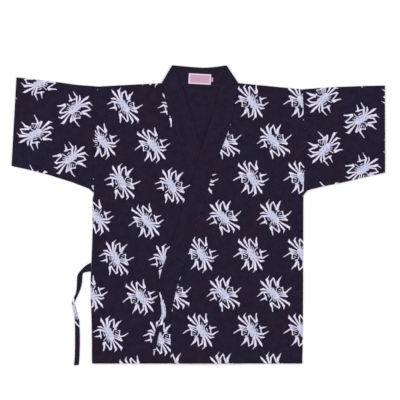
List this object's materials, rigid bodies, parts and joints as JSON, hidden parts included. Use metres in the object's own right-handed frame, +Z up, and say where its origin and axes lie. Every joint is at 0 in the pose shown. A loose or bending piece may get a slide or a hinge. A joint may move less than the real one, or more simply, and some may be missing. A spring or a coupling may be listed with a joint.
{
  "type": "japanese chef jacket",
  "caption": "Short-sleeved crossover chef jacket of printed cotton with a plain collar band and two ties, laid flat, front up.",
  "frame": {"origin": "middle of the outline's box, on the surface that the jacket lies on", "axes": "+X to the right seen from above (the wearer's left), +Y from hem to neck, +Z up out of the surface"},
  "size_m": [1.009, 0.8106, 0.0066],
  "materials": {
    "printed_cotton": "matt",
    "plain_cotton": "matt",
    "label_satin": "satin"
  },
  "bodies": {
    "root": {"back": "printed_cotton", "left_front": "printed_cotton", "right_front": "printed_cotton", "left_sleeve": "printed_cotton", "right_sleeve": "printed_cotton", "back_band": "plain_cotton", "left_band": "plain_cotton", "right_band": "plain_cotton", "side_tie": "printed_cotton", "front_tie": "printed_cotton", "label": "label_satin", "size_tab": "label_satin"}
  },
  "joints": []
}
